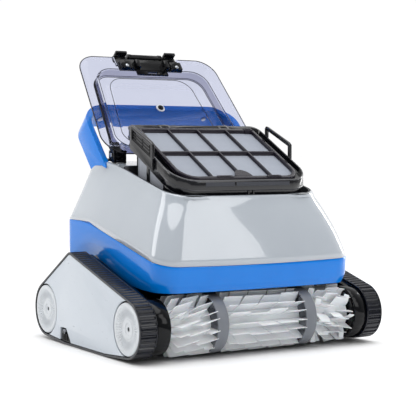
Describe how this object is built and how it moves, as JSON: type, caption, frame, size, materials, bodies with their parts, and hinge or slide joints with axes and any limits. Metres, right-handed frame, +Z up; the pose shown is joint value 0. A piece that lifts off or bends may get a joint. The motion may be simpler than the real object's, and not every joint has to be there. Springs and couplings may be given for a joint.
{
  "type": "pool cleaner",
  "caption": "Tracked robotic pool cleaner with finned brushes, an open clear lid and a filter basket lifted from its well.",
  "frame": {"origin": "middle of the bounding box on the ground under the tracks, lid open and basket lifted", "axes": "+Z up, -Y the front with the first brush, +X to the right side as seen from behind it"},
  "size_m": [0.438, 0.3984, 0.4799],
  "materials": {
    "grey_shell": "cool light grey, glossy",
    "blue_shell": "bright blue, glossy",
    "black_plastic": "satin black",
    "gloss_black": "glossy black",
    "dark_grey_plastic": "satin dark grey",
    "panel_grey": "satin pale grey",
    "hub_grey": "pale grey, moulded",
    "belt_rubber": "near-black navy rubber",
    "fin_rubber": "off-white soft rubber",
    "ring_grey": "mid grey, smooth",
    "clear_lid": "clear with a faint lavender smoke tint",
    "steel": "brushed",
    "seal_rubber": "soft black rubber",
    "filter_mesh": "fine pale grey mesh",
    "impeller_blue": "satin blue",
    "motor_case": "grey painted"
  },
  "bodies": {
    "chassis": {"upper_shell": "grey_shell", "lower_shell": "blue_shell", "chassis_tub": "black_plastic", "base_plate": "dark_grey_plastic", "base_screws": "steel", "inlet_ducts": "dark_grey_plastic", "filter_well": "dark_grey_plastic", "lid_seal": "seal_rubber", "carry_handle": "blue_shell", "handle_screws": "steel", "hinge_brackets": "gloss_black", "hinge_pins": "steel", "side_frame_left": "gloss_black", "side_frame_right": "gloss_black", "side_panel_left": "panel_grey", "side_panel_right": "panel_grey", "track_left": "belt_rubber", "track_right": "belt_rubber", "wheel_axles": "steel", "drive_motor_left": "motor_case", "drive_motor_right": "motor_case", "pump_motor": "motor_case", "outlet_duct": "dark_grey_plastic", "outlet_grille": "black_plastic", "control_box": "dark_grey_plastic", "cable_gland": "black_plastic"},
    "lid": {"lid_cover": "clear_lid", "lid_hinge_arms": "gloss_black", "lid_vent": "hub_grey", "latch_base": "gloss_black", "latch_screws": "steel", "latch_pin": "steel"},
    "latch_button": {"latch_button": "gloss_black"},
    "latch_hook_left": {"latch_hook_left": "gloss_black"},
    "latch_hook_right": {"latch_hook_right": "gloss_black"},
    "basket": {"basket_ring": "black_plastic", "basket_cage": "black_plastic", "basket_mesh": "filter_mesh", "basket_handles": "black_plastic"},
    "basket_top": {"basket_top_frame": "black_plastic", "basket_top_mesh": "filter_mesh"},
    "front_wheel_left": {"front_wheel_left": "black_plastic", "front_hub_left": "hub_grey"},
    "front_wheel_right": {"front_wheel_right": "black_plastic", "front_hub_right": "hub_grey"},
    "rear_wheel_left": {"rear_wheel_left": "black_plastic", "rear_hub_left": "hub_grey"},
    "rear_wheel_right": {"rear_wheel_right": "black_plastic", "rear_hub_right": "hub_grey"},
    "sprocket_left": {"drive_sprocket_left": "dark_grey_plastic"},
    "sprocket_right": {"drive_sprocket_right": "dark_grey_plastic"},
    "front_brush": {"front_brush_tube": "black_plastic", "front_brush_fins": "fin_rubber", "front_brush_rings": "ring_grey"},
    "rear_brush": {"rear_brush_tube": "black_plastic", "rear_brush_fins": "fin_rubber", "rear_brush_rings": "ring_grey"},
    "impeller": {"impeller": "impeller_blue"},
    "inlet_flap_left": {"inlet_flap_left": "dark_grey_plastic"},
    "inlet_flap_right": {"inlet_flap_right": "dark_grey_plastic"}
  },
  "joints": [
    {"name": "lid_hinge", "type": "hinge", "parent": "chassis", "child": "lid", "pos_m": [0, 0.0543, 0.3], "axis": [1, 0, 0], "range_deg": [0, 144.5]},
    {"name": "latch_press", "type": "slide", "parent": "lid", "child": "latch_button", "axis": [0, 0.6494, 0.7604], "range_m": [-0.003, 0], "stiffness_N_per_m": 200},
    {"name": "latch_hook_left_swing", "type": "hinge", "parent": "lid", "child": "latch_hook_left", "pos_m": [-0.048, 0.193, 0.46625], "axis": [1, 0, 0], "range_deg": [-20, 0]},
    {"name": "latch_hook_right_swing", "type": "hinge", "parent": "lid", "child": "latch_hook_right", "pos_m": [0.048, 0.193, 0.46625], "axis": [1, 0, 0], "range_deg": [-20, 0]},
    {"name": "basket_lift", "type": "slide", "parent": "chassis", "child": "basket", "axis": [0, 0, 1], "range_m": [-0.0762, 0]},
    {"name": "basket_top_hinge", "type": "hinge", "parent": "basket", "child": "basket_top", "pos_m": [0, 0.0185, 0.34214], "axis": [1, 0, 0], "range_deg": [-75, 0]},
    {"name": "front_wheel_left_spin", "type": "hinge", "parent": "chassis", "child": "front_wheel_left", "pos_m": [-0.2045, -0.1541, 0.049], "axis": [1, 0, 0], "continuous": true},
    {"name": "rear_wheel_left_spin", "type": "hinge", "parent": "chassis", "child": "rear_wheel_left", "pos_m": [-0.2045, 0.1259, 0.049], "axis": [1, 0, 0], "continuous": true},
    {"name": "sprocket_left_spin", "type": "hinge", "parent": "chassis", "child": "sprocket_left", "pos_m": [-0.2045, 0.0359, 0.132], "axis": [1, 0, 0], "continuous": true},
    {"name": "front_wheel_right_spin", "type": "hinge", "parent": "chassis", "child": "front_wheel_right", "pos_m": [0.2045, -0.1541, 0.049], "axis": [1, 0, 0], "continuous": true},
    {"name": "rear_wheel_right_spin", "type": "hinge", "parent": "chassis", "child": "rear_wheel_right", "pos_m": [0.2045, 0.1259, 0.049], "axis": [1, 0, 0], "continuous": true},
    {"name": "sprocket_right_spin", "type": "hinge", "parent": "chassis", "child": "sprocket_right", "pos_m": [0.2045, 0.0359, 0.132], "axis": [1, 0, 0], "continuous": true},
    {"name": "front_brush_spin", "type": "hinge", "parent": "chassis", "child": "front_brush", "pos_m": [0, -0.1541, 0.049], "axis": [1, 0, 0], "continuous": true},
    {"name": "rear_brush_spin", "type": "hinge", "parent": "chassis", "child": "rear_brush", "pos_m": [0, 0.1259, 0.049], "axis": [1, 0, 0], "continuous": true},
    {"name": "impeller_spin", "type": "hinge", "parent": "chassis", "child": "impeller", "pos_m": [0, 0.0829, 0.2], "axis": [0, 0, 1], "continuous": true},
    {"name": "inlet_flap_left_swing", "type": "hinge", "parent": "chassis", "child": "inlet_flap_left", "pos_m": [-0.07, -0.0251, 0.0185], "axis": [1, 0, 0], "range_deg": [0, 70]},
    {"name": "inlet_flap_right_swing", "type": "hinge", "parent": "chassis", "child": "inlet_flap_right", "pos_m": [0.07, -0.0251, 0.0185], "axis": [1, 0, 0], "range_deg": [0, 70]}
  ],
  "couplings": [
    {"joint": "latch_hook_left_swing", "follows": "latch_press", "rad_per_m": 116},
    {"joint": "latch_hook_right_swing", "follows": "latch_press", "rad_per_m": 116},
    {"joint": "basket_lift", "follows": "lid_hinge", "m_per_rad": -0.03013},
    {"joint": "rear_wheel_left_spin", "follows": "front_wheel_left_spin", "ratio": 1},
    {"joint": "sprocket_left_spin", "follows": "front_wheel_left_spin", "ratio": 3.0741},
    {"joint": "rear_wheel_right_spin", "follows": "front_wheel_right_spin", "ratio": 1},
    {"joint": "sprocket_right_spin", "follows": "front_wheel_right_spin", "ratio": 3.0741},
    {"joint": "front_brush_spin", "follows": "front_wheel_left_spin", "ratio": 1},
    {"joint": "rear_brush_spin", "follows": "front_wheel_right_spin", "ratio": 1}
  ]
}
